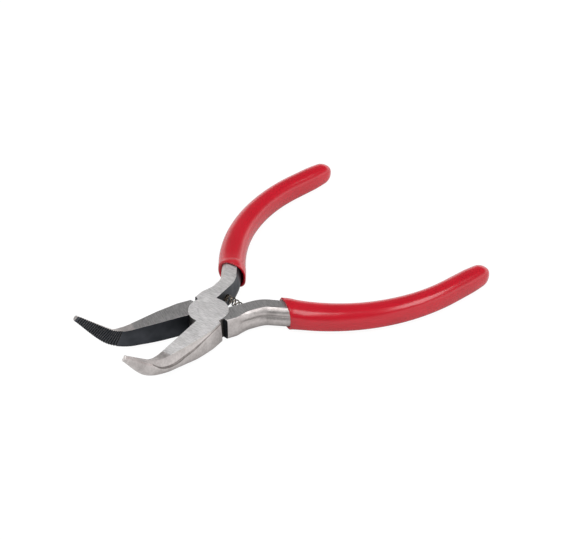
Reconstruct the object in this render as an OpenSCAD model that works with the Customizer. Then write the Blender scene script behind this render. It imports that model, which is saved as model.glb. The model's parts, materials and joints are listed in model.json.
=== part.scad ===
// Mini bent-nose pliers: two forged levers in a lap joint, a flush rivet, a return spring
// between the handles and two slip-on vinyl grips. Millimetres.
//
// The origin is on the pivot axis at the ground underside of the joint. +Z runs up the pivot,
// +X towards the handles, and at rest the two levers stand open by the same angle each side of X.
// Both levers are drawn closed, with the jaw along -X, and are turned to the rest pose at the end.

/* [Joint] */
// Thickness of the ground joint, and of the lever next to it
joint_thickness = 6.8; // [6:0.1:7.6]
// Radius of each lever's half-thickness joint disc
disc_radius = 5.9; // [5.2:0.1:6.4]
// Gap between the two lapped faces
lap_gap = 0.06; // [0.02:0.01:0.2]
// Gap between a disc and the pocket it turns in
pocket_gap = 0.1; // [0.05:0.01:0.3]
// Angle from the centre line to the faces that stop the levers when wide open
stop_angle = 65.5; // [60:0.5:72]
// Angle between the levers at rest
rest_opening = 33; // [20:1:42]

/* [Rivet] */
// Diameter of the rivet's shank
rivet_diameter = 4.4; // [3.4:0.1:5.4]
// Diameter of each countersunk end
rivet_end_diameter = 6; // [5.6:0.1:7]
// Depth of each countersunk end
rivet_end_depth = 0.8; // [0.5:0.1:1.2]
// Running gap round the rivet in the lower lever
rivet_gap = 0.05; // [0.02:0.01:0.1]

/* [Jaws] */
// Straight length of a jaw from the pivot to its bend
jaw_straight = 22.2; // [19:0.2:26]
// Radius of the bend, on the jaw's centre line
bend_radius = 12; // [8:0.5:16]
// Angle that the nose is bent up by
bend_angle = 46.5; // [30:0.5:60]
// Length of the tapered nose beyond the bend
nose_length = 12.3; // [9:0.1:18]
// Width of one jaw at its heel
heel_width = 6.6; // [6.2:0.1:7.6]
// How far a jaw's side leans out from its crease down to its underside
side_lean = 0.7; // [0:0.05:0.9]
// Width of one jaw where the bend ends
bend_width = 2.3; // [1.8:0.1:3.2]
// Height of a jaw where the bend ends
bend_height = 4.4; // [3.6:0.1:5.2]
// Width of one jaw at its tip
tip_width = 1; // [0.8:0.1:1.6]
// Height of a jaw at its tip
tip_height = 1.7; // [1.4:0.1:2.4]
// Gap between the gripping faces when closed
bite_gap = 0.06; // [0.02:0.02:0.3]
// Distance from one tooth to the next
tooth_pitch = 0.76; // [0.6:0.02:1.2]
// Depth of the grooves between the teeth
tooth_depth = 0.28; // [0.1:0.02:0.35]

/* [Handles] */
// Gap between the flat inner faces of the handles when closed
handle_gap = 2.5; // [1.4:0.1:3]
// Width of the shoulder beside the joint
shoulder_width = 5.8; // [5.2:0.1:6.4]
// Width of the neck behind the shoulder
neck_width = 4.2; // [3.8:0.1:5]
// Width of the handle where it enters the grip
root_width = 5.9; // [5.4:0.1:6.6]
// Swell of the handle's inner side where it enters the grip
inner_swell = 1.35; // [0.8:0.05:1.6]
// Depth of the hollow along the handle's outer side
side_hollow = 0.55; // [0:0.05:0.9]
// Width of the tang at its end
tang_width = 3.6; // [3:0.1:4.2]
// Height of the tang at its end
tang_height = 4.6; // [3.8:0.1:5.2]
// Straight length from the pivot to the handle's first bend
handle_straight = 13.2; // [12.6:0.1:16]
// Radius of the first bend, outwards
splay_radius = 7.5; // [5:0.5:12]
// Angle of the first bend
splay_angle = 32.2; // [20:1:38]
// Straight length between the bends
splay_length = 10.6; // [8:0.1:13]
// Radius of the long curve that fits the palm
palm_radius = 55; // [45:0.5:75]
// Angle that the palm curve turns back by
palm_angle = 48; // [35:0.2:54]
// Straight length of the tang after the palm curve
tail_length = 10.6; // [8:0.1:16]

/* [Grips] */
// Distance from the pivot, along the handle, to the grip's mouth
mouth_distance = 22.3; // [21:0.1:25]
// Width of the grip at its mouth
mouth_width = 8.3; // [7.8:0.1:9.6]
// Height of the grip at its mouth
mouth_height = 8.6; // [8.2:0.1:9.6]
// Width of the grip a third of the way along
grip_width = 7.3; // [6.8:0.1:8.4]
// Width of the grip near its end
grip_end_width = 6.5; // [5.8:0.1:7.4]
// Height of the grip along its length
grip_height = 7.5; // [7:0.1:8.4]
// Angle that the mouth is cut at, away from square to the handle
mouth_angle = 30; // [0:1:36]
// Wall at the lip of the mouth
lip_wall = 0.6; // [0.5:0.05:1.1]
// Length of the solid, rounded end beyond the tang
grip_end_length = 4.2; // [3:0.1:6]
// Clearance between the tang and the bore of the grip
grip_gap = 0.05; // [0.02:0.01:0.15]

/* [Return spring] */
// Outer diameter of the spring
spring_diameter = 2.5; // [2:0.1:2.8]
// Diameter of the spring wire
wire_diameter = 0.4; // [0.26:0.02:0.44]
// Number of open coils between the two closed end coils
open_coils = 7; // [5:1:9]
// Distance from the pivot to the spring's pockets, along the closed handles
pocket_distance = 10.9; // [10.5:0.1:12]
// Depth of each pocket in the handle's inner face
pocket_depth = 1.3; // [0.8:0.1:1.8]
// Gap between the spring and its pockets
spring_gap = 0.12; // [0.08:0.01:0.3]

/* [Hidden] */

half_open = rest_opening / 2;
half_thickness = joint_thickness / 2;
far = 40; // half the size of a cutting block
over = 1; // how far a cut runs past a face
sunk = 1; // jaws and handles start this far from the pivot, sunk in the disc
round_fn = 64;

steel = "#b9b6b2";
dark_steel = "#8f8d8b";
black_steel = "#2e2d2c";
vinyl = "#c02434";

// ---- curves ----

// Place and heading [a, b, angle] at distance s along a chain of [length, turn] pieces:
// a straight has no turn, an arc turns by its angle. The last piece runs on past its end.
function along(chain, s, at = [0, 0, 0], i = 0) =
    let(last = i == len(chain) - 1)
    let(run = last ? s : min(s, chain[i][0]))
    let(turn = chain[i][1] * run / chain[i][0])
    let(chord = turn == 0 ? run : run * sin(turn / 2) / (turn / 2 * PI / 180))
    let(heading = at[2] + turn / 2)
    let(there = [at[0] + chord * cos(heading), at[1] + chord * sin(heading), at[2] + turn])
    last || s <= chain[i][0] ? there : along(chain, s - chain[i][0], there, i + 1);

function arc_length(radius, angle) = radius * angle * PI / 180;

// Value at s on a smooth curve through [s, value] rows, which never overshoots them
function slope(rows, i) = (rows[i + 1][1] - rows[i][1]) / (rows[i + 1][0] - rows[i][0]);
function tangent(rows, i) =
    i == 0 ? slope(rows, 0)
    : i == len(rows) - 1 ? slope(rows, i - 1)
    : let(before = slope(rows, i - 1), after = slope(rows, i))
      before * after <= 0 ? 0 : 2 * before * after / (before + after);
function row_of(rows, s, i = 0) =
    i >= len(rows) - 2 || s <= rows[i + 1][0] ? i : row_of(rows, s, i + 1);
function smooth(rows, s) =
    let(i = row_of(rows, s), step = rows[i + 1][0] - rows[i][0])
    let(t = min(max((s - rows[i][0]) / step, 0), 1))
    rows[i][1] * (1 + 2 * t) * pow(1 - t, 2) + rows[i + 1][1] * t * t * (3 - 2 * t)
    + tangent(rows, i) * step * t * pow(1 - t, 2) - tangent(rows, i + 1) * step * t * t * (1 - t);
function column(table, k) = [for (row = table) [row[0], row[k]]];
function steps(from, to, count) = [for (i = [0 : count]) from + (to - from) * i / count];

// ---- sections ----

// Point on a rounded box of half sizes a and b, at angle t. A squareness of 2 is an ellipse.
function squircle(a, b, squareness, t) =
    [a * sign(cos(t)) * pow(abs(cos(t)), 2 / squareness),
     b * sign(sin(t)) * pow(abs(sin(t)), 2 / squareness)];

// Rounded side of a section, from angle `start` down to angle `end`, standing on a flat inner face
side_points = 9;
function rounded_side(inner, middle, width, height, squareness, start, end) =
    [for (t = steps(start, end, side_points)) [inner, middle] + squircle(width, height, squareness, t)];

// The inner face of a section, from its lowest point back up to its highest, flat or with a swell
swell_fullness = 0.75; // 1 swells as a parabola, less is fuller
function inner_face(inner, top, bottom, swell = 0) =
    [for (k = [1 : 5])
        let(way = k / 6)
        [inner - swell * pow(4 * way * (1 - way), swell_fullness), -bottom + (top + bottom) * way]];

// Section of a jaw [u, v], u outwards. The ground top is flat out to `flat`, a hollow bevel drops
// from there to a crease, and a rounded side leans out from the crease down to the underside.
function jaw_section(inner, outer, top, bottom, flat, drop, squareness, lean) =
    let(middle = (top - bottom) / 2, height = (top + bottom) / 2)
    let(start = asin(pow((top - drop - middle) / height, squareness / 2)))
    let(side = [for (p = rounded_side(inner, middle, outer - inner, height, squareness, start, -90))
        let(out = (p[0] - inner) / (outer - inner), down = (top - drop - p[1]) / (top - drop + bottom))
        [p[0] + lean * out * down, p[1]]])
    let(edge = [min(flat, side[0][0] - 0.04), top])
    let(hollow = (edge + side[0]) / 2 - [0.06, 0.1] * drop)
    concat([[inner, top], [(inner + edge[0]) / 2, top], edge, hollow], side,
        inner_face(inner, top, bottom));

// Sinks a hollow of that depth along a side
function hollowed(points, depth) =
    [for (p = points) [p[0] - depth * exp(-pow((p[1] - hollow_height) / hollow_spread, 2)), p[1]]];

// Section of a handle: a swollen inner side and a hollowed outer side between two ground faces,
// which are flat from `inner` to `flat`
function handle_section_of(inner, outer, half, flat, squareness, swell, hollow) =
    let(width = outer + hollow / 2 - inner)
    let(height = half / pow(1 - pow((flat - inner) / width, squareness), 1 / squareness))
    let(start = asin(pow(half / height, squareness / 2)))
    concat([[inner, half], [(inner + flat) / 2, half]],
        hollowed(rounded_side(inner, 0, width, height, squareness, start, -start), hollow),
        [[(inner + flat) / 2, -half], [inner, -half]], inner_face(inner, half, half, swell));

function centre(points) = [for (p = points) 1 / len(points)] * points;

// Solid through a list of rings with the same number of points, closed by fans to two end points
module loft(rings, first = undef, last = undef) {
    n = len(rings[0]);
    count = len(rings);
    first_point = is_undef(first) ? centre(rings[0]) : first;
    last_point = is_undef(last) ? centre(rings[count - 1]) : last;
    sides = [for (i = [0 : count - 2], j = [0 : n - 1])
        let(k = (j + 1) % n)
        each [[i * n + j, i * n + k, (i + 1) * n + k], [i * n + j, (i + 1) * n + k, (i + 1) * n + j]]];
    ends = [for (j = [0 : n - 1])
        let(k = (j + 1) % n)
        each [[k, j, n * count], [(count - 1) * n + j, (count - 1) * n + k, n * count + 1]]];
    polyhedron(points = concat([for (ring = rings) each ring], [first_point, last_point]),
        faces = concat(sides, ends));
}

// ---- jaws ----

bend_length = arc_length(bend_radius, bend_angle);
bend_end = jaw_straight + bend_length;
jaw_length = bend_end + nose_length;
jaw_chain = [[jaw_straight, 0], [bend_length, bend_angle], [nose_length, 0]];
teeth_start = jaw_straight + 0.55 * bend_length;
teeth_count = floor((jaw_length - teeth_start) / tooth_pitch);
tip_chamfer = 0.25;

// Distance, width, top, bottom, ground flat, crease drop, squareness, lean
jaw_table =
    let(t = half_thickness, w = heel_width, b = bend_width, h = bend_height / 2)
    [[0, w, t, t, w - 0.15, 0.5, 9, side_lean],
     [disc_radius + 1, w, t, t, w - 0.2, 0.7, 8, side_lean],
     [0.42 * jaw_straight, w - 0.1, t, t, w - 0.6, 1, 6, side_lean],
     [0.62 * jaw_straight, w - 0.5, t, t - 0.05, w - 1.4, 1.7, 4, side_lean],
     [0.82 * jaw_straight, w - 1.5, t, t - 0.35, w - 2.5, 2.5, 3, side_lean],
     [jaw_straight, b + 2.1, t, t - 0.8, b + 0.8, 2.9, 2.4, 0.7 * side_lean],
     [jaw_straight + bend_length / 2, b + 1.1, t - 0.4, h + 0.05, b - 0.2, 2.3, 2.1, 0],
     [bend_end, b - 0.1, h, h, 0.8, 0.7, 2.1, 0],
     [jaw_length, tip_width, tip_height / 2, tip_height / 2, 0.3, 0.1, 2.1, 0]];

// Ring of a jaw at distance s, with its gripping face sunk by `groove` and its outline shrunk by `inset`
function jaw_ring(s, groove = 0, inset = 0) =
    let(v = [for (k = [1 : 7]) smooth(column(jaw_table, k), s)])
    let(at = along(jaw_chain, s))
    let(outline = jaw_section(bite_gap / 2 + groove, v[0] - inset, v[1] - inset, v[2] - inset,
        v[3], v[4], v[5], v[6]))
    [for (p = outline)
        [-at[0] + p[1] * sin(at[2]), -p[0], half_thickness + at[1] + p[1] * cos(at[2])]];

module jaw() {
    plain = [for (s = steps(sunk, teeth_start, 16)) jaw_ring(s)];
    toothed = [for (k = [0 : teeth_count - 1])
        each [jaw_ring(teeth_start + (k + 0.5) * tooth_pitch, tooth_depth),
              jaw_ring(teeth_start + (k + 1) * tooth_pitch)]];
    tip = [jaw_ring(jaw_length + tip_chamfer, 0, tip_chamfer)];
    difference() {
        loft(concat(plain, toothed, tip));
        behind_stop(180 + stop_angle);
    }
}

// Everything on the far side of the radial stop face at angle a
module behind_stop(a) {
    rotate([0, 0, a])
        translate([-far, 0, -far])
            cube([2 * far, far, 2 * far]);
}

// ---- handles ----

splay_arc = arc_length(splay_radius, splay_angle);
palm_arc = arc_length(palm_radius, palm_angle);
handle_chain = [[handle_straight, 0], [splay_arc, splay_angle], [splay_length, 0],
    [palm_arc, -palm_angle], [tail_length, 0]];
handle_length = handle_straight + splay_arc + splay_length + palm_arc + tail_length;
// The inner face lies this far inside the handle's line
inner_offset = neck_width / 2 - 0.15;
handle_line = handle_gap / 2 + inner_offset;

hollow_height = 0.7; // the hollow is deepest this far above the middle of the side
hollow_spread = 0.7; // and fades over this height each way
tang_start = 8; // the sleeved part of the handle tapers from this far past the mouth

// Distance, inner edge, outer face, half height, outer edge of the ground flat, squareness, swell
// of the inner side, hollow of the outer side
handle_table =
    let(t = half_thickness, i = -inner_offset, shoulder = i + shoulder_width, neck = i + neck_width)
    let(root = i + root_width - inner_swell)
    [[0, i, shoulder, t, shoulder - 0.35, 9, 0, 0],
     [disc_radius, i, shoulder - 0.1, t, shoulder - 0.5, 8, 0, 0],
     [0.6 * handle_straight, i, neck + 0.4, t, neck - 0.2, 3.6, 0, 0.6 * side_hollow],
     [0.8 * handle_straight, i, neck + 0.1, t, neck - 0.6, 3, 0, side_hollow],
     [handle_straight + 1, i, neck + 0.2, t, neck - 0.8, 3, 0, side_hollow],
     [handle_straight + splay_arc, i, root, t, root - 1.3, 2.6, 0.8 * inner_swell, side_hollow],
     [mouth_distance, i, root, t, root - 1.3, 2.6, inner_swell, side_hollow],
     [mouth_distance + tang_start, i, root - 0.2, t - 0.4, root - 1.5, 2.4, inner_swell - 0.1,
         side_hollow / 2],
     [handle_length, -tang_width / 2, tang_width / 2, tang_height / 2, tang_width / 4, 2.6, 0, 0]];

// Section of a handle at distance s, grown by `gap` all round
function handle_section(s, gap = 0) =
    let(v = [for (k = [1 : 7]) smooth(column(handle_table, k), s)])
    handle_section_of(v[0] - gap, v[1] + gap, v[2] + gap, v[3] + gap / 2, v[4], v[5], v[6]);

// Puts a section [u, v] at distance s along the handle
function on_handle(section, s) =
    let(at = along(handle_chain, s, [0, handle_line, 0]))
    [for (p = section) [at[0] - p[0] * sin(at[2]), at[1] + p[0] * cos(at[2]), half_thickness + p[1]]];

tang_chamfer = 0.6;
module handle() {
    stations = concat(steps(sunk, mouth_distance, 17), steps(mouth_distance + 2, handle_length, 17));
    body = [for (s = stations) on_handle(handle_section(s), s)];
    end = on_handle(handle_section(handle_length, -tang_chamfer), handle_length + tang_chamfer);
    difference() {
        loft(concat(body, [end]));
        behind_stop(stop_angle);
    }
}

// ---- levers ----

// One lever, closed. lap is 1 for the lever whose disc is on top, and -1 for the one below.
module lever(lap, hole_gap) {
    lapped = half_thickness + lap * lap_gap / 2;
    difference() {
        union() {
            jaw();
            handle();
            translate([0, 0, lap > 0 ? lapped : 0])
                cylinder(r = disc_radius, h = half_thickness - lap_gap / 2, $fn = round_fn);
        }
        translate([0, 0, lap > 0 ? -far : lapped])
            cylinder(r = disc_radius + pocket_gap, h = far + (lap > 0 ? lapped : 0), $fn = round_fn);
        rivet_shape(hole_gap, over);
        translate([pocket_distance, handle_gap / 2 - over, half_thickness])
            rotate([-90, 0, 0])
                cylinder(d = spring_diameter + 2 * spring_gap, h = pocket_depth + over, $fn = round_fn);
    }
}

module lever_a() {
    color(steel)
        rotate([0, 0, half_open])
            lever(1, 0);
}

module lever_b() {
    color(dark_steel)
        rotate([0, 0, -half_open])
            mirror([0, 1, 0])
                lever(-1, rivet_gap);
}

// ---- rivet ----

// The rivet, or the hole for it with a gap all round that runs out past both faces
module rivet_shape(gap = 0, out = 0) {
    r = rivet_diameter / 2 + gap;
    end = rivet_end_diameter / 2 + gap;
    rotate_extrude($fn = round_fn)
        polygon([[0, -out], [end, -out], [end, 0], [r, rivet_end_depth],
            [r, joint_thickness - rivet_end_depth], [end, joint_thickness],
            [end, joint_thickness + out], [0, joint_thickness + out]]);
}

module rivet() {
    color(steel)
        rivet_shape();
}

// ---- grips ----

grip_length = handle_length + tang_chamfer + grip_end_length - mouth_distance;
grip_squareness = 2.4;
lip_round = 0.25;
flare_length = 5;
flare_run = 2; // how far the outside keeps the mouth's width beyond the flare
slant_length = 9;
end_taper = 9; // length over which the grip narrows towards its end
cap_length = 3.8; // length of the rounded cap at its very end
// The mouth is centred on the handle, whose middle lies inside the handle's line here
mouth_shift = inner_offset + inner_swell - root_width / 2;

// Distance from the mouth, half width, half height, shift towards the inner side
grip_table =
    [[0, mouth_width / 2, mouth_height / 2, mouth_shift],
     [flare_length + flare_run, mouth_width / 2 - 0.05, grip_height / 2 + 0.15, mouth_shift / 2],
     [grip_length * 0.4, grip_width / 2, grip_height / 2, 0],
     [grip_length * 0.7, grip_end_width / 2, grip_height / 2, 0],
     [grip_length - end_taper, grip_end_width / 2, grip_height / 2 - 0.1, 0],
     [grip_length, grip_end_width / 2 - 0.6, grip_height / 2 - 0.7, 0]];

// Outer section of a grip at distance s, on the same rays as the tang's own points
function grip_section(s, inset = 0) =
    let(v = [for (k = [1 : 3]) smooth(column(grip_table, k), s - mouth_distance)])
    let(a = v[0] - inset, b = v[1] - inset)
    [for (p = handle_section(min(s, handle_length)))
        let(t = atan2(p[1], p[0] + v[2]))
        let(r = pow(pow(abs(cos(t)) / a, grip_squareness) + pow(abs(sin(t)) / b, grip_squareness),
            -1 / grip_squareness))
        [r * cos(t) - v[2], r * sin(t)]];

// Bore of a grip: a snug fit on the tang that opens out towards the lip of the mouth
function grip_bore(s) =
    let(open = pow(min(1, max(0, 1 - (s - mouth_distance) / flare_length)), 2))
    let(snug = handle_section(min(s, handle_length), grip_gap), lip = grip_section(s, lip_wall))
    [for (k = [0 : len(snug) - 1])
        norm(lip[k]) > norm(snug[k]) ? snug[k] + (lip[k] - snug[k]) * open : snug[k]];

// Ring of a grip at distance s. Near the mouth the rings slant as the mouth does.
function grip_ring(section, s) =
    let(slant = tan(mouth_angle) * max(0, 1 - (s - mouth_distance) / slant_length), square = section(s))
    [for (k = [0 : len(square) - 1])
        let(own = s + square[k][0] * slant)
        on_handle([section(own)[k]], own)[0]];

module grip() {
    bore = function(s) grip_bore(s);
    skin = function(s) grip_section(s);
    bore_stations = concat(steps(handle_length, mouth_distance + flare_length, 12),
        steps(mouth_distance + flare_length - 1, mouth_distance + lip_round, 4));
    bore_end = on_handle(handle_section(handle_length, grip_gap - tang_chamfer),
        handle_length + tang_chamfer + grip_gap);
    whole = mouth_distance + grip_length;
    end = [for (t = [18 : 18 : 72])
        let(s = whole - cap_length * (1 - sin(t)))
        on_handle(cos(t) * grip_section(s), s)];
    loft(concat([bore_end],
            [for (s = bore_stations) grip_ring(bore, s)],
            [grip_ring(function(s) grip_section(s, lip_wall - lip_round), mouth_distance),
             grip_ring(function(s) grip_section(s, lip_round), mouth_distance)],
            [for (s = steps(mouth_distance + lip_round, whole - cap_length, 24)) grip_ring(skin, s)],
            end),
        last = on_handle([[0, 0]], whole)[0]);
}

module grip_a() {
    color(vinyl)
        rotate([0, 0, half_open])
            grip();
}

module grip_b() {
    color(vinyl)
        rotate([0, 0, -half_open])
            mirror([0, 1, 0])
                grip();
}

// ---- return spring ----

// The spring's line is an arc square to both inner faces, centred where their planes meet,
// with a straight run into each pocket
arc_centre = -handle_gap / 2 / sin(half_open);
arc_radius = pocket_distance + handle_gap / 2 / tan(half_open);
seat_gap = 0.02;
end_run = pocket_depth - seat_gap - wire_diameter / 2;
spring_chain = [[end_run, 0], [arc_length(arc_radius, rest_opening), rest_opening], [end_run, 0]];
spring_run = arc_length(arc_radius, rest_opening) + 2 * end_run;
spring_start = [arc_centre + arc_radius * cos(half_open) - end_run * sin(half_open),
    -arc_radius * sin(half_open) - end_run * cos(half_open), 90 - half_open];
first_coil_angle = 80;
coil_steps = 14;
wire_sides = 6;
closed_pitch = wire_diameter * 1.06;

// Distance along the spring's line after a number of coils
function coil_reach(turns) =
    let(open_pitch = (spring_run - 2 * closed_pitch) / open_coils)
    turns < 1 ? turns * closed_pitch
    : turns < 1 + open_coils ? closed_pitch + (turns - 1) * open_pitch
    : spring_run - (open_coils + 2 - turns) * closed_pitch;

function wire_ring(turns) =
    let(at = along(spring_chain, coil_reach(turns), spring_start), t = turns * 360 + first_coil_angle)
    [for (k = [0 : wire_sides - 1])
        let(r = (spring_diameter - wire_diameter) / 2 + wire_diameter / 2 * cos(k * 360 / wire_sides))
        let(forward = wire_diameter / 2 * sin(k * 360 / wire_sides))
        [at[0] + forward * cos(at[2]) + r * cos(t) * sin(at[2]),
         at[1] + forward * sin(at[2]) - r * cos(t) * cos(at[2]),
         half_thickness + r * sin(t)]];

module return_spring() {
    color(black_steel)
        loft([for (k = [0 : (open_coils + 2) * coil_steps]) wire_ring(k / coil_steps)]);
}

lever_a();
lever_b();
rivet();
return_spring();
grip_a();
grip_b();
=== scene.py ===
"""Mini bent-nose pliers: ground and blackened levers, a flush rivet, a spring and vinyl grips.

Shapes are drawn in millimetres with the tool closed: a jaw along -X on the -Y side, and its handle
along +X on the +Y side. They are then turned to the rest pose and scaled to metres.
"""

import json
import math

import bmesh
import bpy
from mathutils import Matrix, Quaternion, Vector


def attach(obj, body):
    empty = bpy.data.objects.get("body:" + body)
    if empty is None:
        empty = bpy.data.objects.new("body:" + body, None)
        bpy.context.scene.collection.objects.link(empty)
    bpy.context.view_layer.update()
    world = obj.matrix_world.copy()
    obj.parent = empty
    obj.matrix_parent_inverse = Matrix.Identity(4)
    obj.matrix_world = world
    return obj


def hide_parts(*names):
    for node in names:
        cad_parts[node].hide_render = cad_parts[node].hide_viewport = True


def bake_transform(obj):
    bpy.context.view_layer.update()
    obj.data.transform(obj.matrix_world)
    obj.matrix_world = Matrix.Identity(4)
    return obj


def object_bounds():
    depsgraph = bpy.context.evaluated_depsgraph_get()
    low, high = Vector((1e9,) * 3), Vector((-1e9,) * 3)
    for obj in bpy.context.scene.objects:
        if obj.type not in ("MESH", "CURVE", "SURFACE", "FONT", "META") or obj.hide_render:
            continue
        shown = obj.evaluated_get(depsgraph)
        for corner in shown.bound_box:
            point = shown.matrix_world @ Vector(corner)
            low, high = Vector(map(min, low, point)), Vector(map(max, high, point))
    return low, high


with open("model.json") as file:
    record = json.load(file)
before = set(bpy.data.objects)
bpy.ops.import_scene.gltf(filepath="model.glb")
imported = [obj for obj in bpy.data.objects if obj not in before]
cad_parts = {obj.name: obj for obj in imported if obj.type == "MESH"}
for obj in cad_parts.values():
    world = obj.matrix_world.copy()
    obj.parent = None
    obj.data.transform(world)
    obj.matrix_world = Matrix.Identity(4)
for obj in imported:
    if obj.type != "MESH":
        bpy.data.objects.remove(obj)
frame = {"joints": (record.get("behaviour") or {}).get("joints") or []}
cad_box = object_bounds()

# ---- sizes, in millimetres and radians, as the solids have them ----

MM = 0.001

THICKNESS = 6.8
HALF = THICKNESS / 2
DISC_RADIUS = 5.9
LAP_GAP = 0.06
POCKET_GAP = 0.1
STOP_ANGLE = math.radians(65.5)
# At rest each lever stands half the joint's closing turn away from the closed tool
HALF_OPEN = math.radians(-frame["joints"][0]["range_deg"][0] / 2)

RIVET_RADIUS = 2.2
RIVET_END_RADIUS = 3.0
RIVET_END_DEPTH = 0.8
RIVET_GAP = 0.05

JAW_STRAIGHT = 22.2
BEND_RADIUS = 12
BEND_ANGLE = math.radians(46.5)
BEND_LENGTH = BEND_RADIUS * BEND_ANGLE
NOSE_LENGTH = 12.3
HEEL_WIDTH = 6.6
SIDE_LEAN = 0.7
BEND_WIDTH = 2.3
BEND_HEIGHT = 4.4
TIP_WIDTH = 1.0
TIP_HEIGHT = 1.7
TIP_CHAMFER = 0.25
BITE_GAP = 0.06
TOOTH_PITCH = 0.76
TOOTH_DEPTH = 0.28

HANDLE_GAP = 2.5
SHOULDER_WIDTH = 5.8
NECK_WIDTH = 4.2
NECK_OVERLAP = 0.15
ROOT_WIDTH = 5.9
INNER_SWELL = 1.35
SWELL_FULLNESS = 0.75
SIDE_HOLLOW = 0.55
HOLLOW_HEIGHT = 0.7
HOLLOW_SPREAD = 0.7
TANG_WIDTH = 3.6
TANG_HEIGHT = 4.6
TANG_CHAMFER = 0.6
TANG_START = 8.0
HANDLE_STRAIGHT = 13.2
SPLAY_RADIUS = 7.5
SPLAY_ANGLE = math.radians(32.2)
SPLAY_ARC = SPLAY_RADIUS * SPLAY_ANGLE
SPLAY_LENGTH = 10.6
PALM_RADIUS = 55
PALM_ANGLE = math.radians(48)
PALM_ARC = PALM_RADIUS * PALM_ANGLE
TAIL_LENGTH = 10.6

MOUTH_DISTANCE = 22.3
MOUTH_WIDTH = 8.3
MOUTH_HEIGHT = 8.6
MOUTH_ANGLE = math.radians(30)
GRIP_WIDTH = 7.3
GRIP_END_WIDTH = 6.5
GRIP_HEIGHT = 7.5
GRIP_END_LENGTH = 4.2
GRIP_GAP = 0.05
GRIP_SQUARENESS = 2.4
LIP_WALL = 0.6
LIP_ROUND = 0.25
FLARE_LENGTH = 5.0
FLARE_RUN = 2.0
SLANT_LENGTH = 9.0
END_TAPER = 9.0
CAP_LENGTH = 3.8

SPRING_RADIUS = 1.25
WIRE_RADIUS = 0.2
OPEN_COILS = 7
POCKET_DISTANCE = 10.9
POCKET_DEPTH = 1.3
SPRING_GAP = 0.12

# ---- curves ----


def along(chain, s, start=(0.0, 0.0, 0.0)):
    """Place and heading at distance s along straights and arcs, each a (length, turn)."""
    a, b, angle = start
    for k, (length, turn) in enumerate(chain):
        last = k == len(chain) - 1
        run = s if last else min(s, length)
        part = turn * run / length
        chord = run if part == 0 else run * math.sin(part / 2) / (part / 2)
        a += chord * math.cos(angle + part / 2)
        b += chord * math.sin(angle + part / 2)
        angle += part
        if last or s <= length:
            return a, b, angle
        s -= length


def slope(table, i, k):
    """Slope of column k from row i to the next."""
    return (table[i + 1][k] - table[i][k]) / (table[i + 1][0] - table[i][0])


def tangent(table, i, k):
    """Slope of column k at row i, level wherever the column turns back."""
    if i == 0:
        return slope(table, 0, k)
    if i == len(table) - 1:
        return slope(table, i - 1, k)
    before = slope(table, i - 1, k)
    after = slope(table, i, k)
    return 0 if before * after <= 0 else 2 * before * after / (before + after)


def between(table, s):
    """Every column of a table at s, on smooth curves that never overshoot its rows."""
    i = 0
    while i < len(table) - 2 and s > table[i + 1][0]:
        i += 1
    step = table[i + 1][0] - table[i][0]
    t = min(max((s - table[i][0]) / step, 0), 1)
    back = 1 - t
    values = []
    for k in range(1, len(table[0])):
        near = table[i][k] * (1 + 2 * t) * back ** 2 + tangent(table, i, k) * step * t * back ** 2
        far = table[i + 1][k] * t * t * (3 - 2 * t) - tangent(table, i + 1, k) * step * t * t * back
        values.append(near + far)
    return values


def steps(first, last, count):
    """Numbers from first to last in `count` equal steps."""
    return [first + (last - first) * i / count for i in range(count + 1)]


def squircle(a, b, squareness, t):
    """Point on a rounded box of half sizes a and b. A squareness of 2 is an ellipse."""
    u = a * math.copysign(abs(math.cos(t)) ** (2 / squareness), math.cos(t))
    v = b * math.copysign(abs(math.sin(t)) ** (2 / squareness), math.sin(t))
    return u, v


# ---- meshes ----

# Finishes of a lever, in the order of its material slots
FINISH_COUNT = 6
GROUND, BUFFED, CREASE, BLACK, TURNED, DARK_OXIDE_AND_GROOVE_SHADE = range(FINISH_COUNT)


def show(name, mesh):
    made = bpy.data.objects.new(name, mesh)
    bpy.context.scene.collection.objects.link(made)
    return made


def solid(name, points, faces, zones):
    """Closed mesh with a finish for each face. Its empty slots keep the finishes apart in a cut."""
    mesh = bpy.data.meshes.new(name)
    mesh.from_pydata(points, [], faces)
    for _ in range(FINISH_COUNT):
        mesh.materials.append(None)
    mesh.polygons.foreach_set("material_index", zones)
    built = bmesh.new()
    built.from_mesh(mesh)
    bmesh.ops.recalc_face_normals(built, faces=built.faces)
    built.to_mesh(mesh)
    built.free()
    return show(name, mesh)


def centre(points):
    return tuple(sum(p[k] for p in points) / len(points) for k in range(3))


def loft(name, rings, zones=None, last=None):
    """Closed skin over rings of equally many points. A zone is a finish for each step round a ring.
    The last ring closes on its own centre, or on the point `last`."""
    n = len(rings[0])
    count = len(rings)
    zones = zones or [[0] * n] * count
    points = [p for ring in rings for p in ring] + [centre(rings[0]), last or centre(rings[-1])]
    faces = []
    finishes = []
    for i in range(count - 1):
        for j in range(n):
            k = (j + 1) % n
            faces.append((i * n + j, i * n + k, (i + 1) * n + k, (i + 1) * n + j))
            finishes.append(zones[i][j])
    # Each end closes in a fan of triangles, in a finish of its own ring
    for j in range(n):
        k = (j + 1) % n
        faces.append((k, j, n * count))
        finishes.append(zones[0][1])
        faces.append(((count - 1) * n + j, (count - 1) * n + k, n * count + 1))
        finishes.append(zones[-1][n // 3])
    return solid(name, points, faces, finishes)


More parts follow.
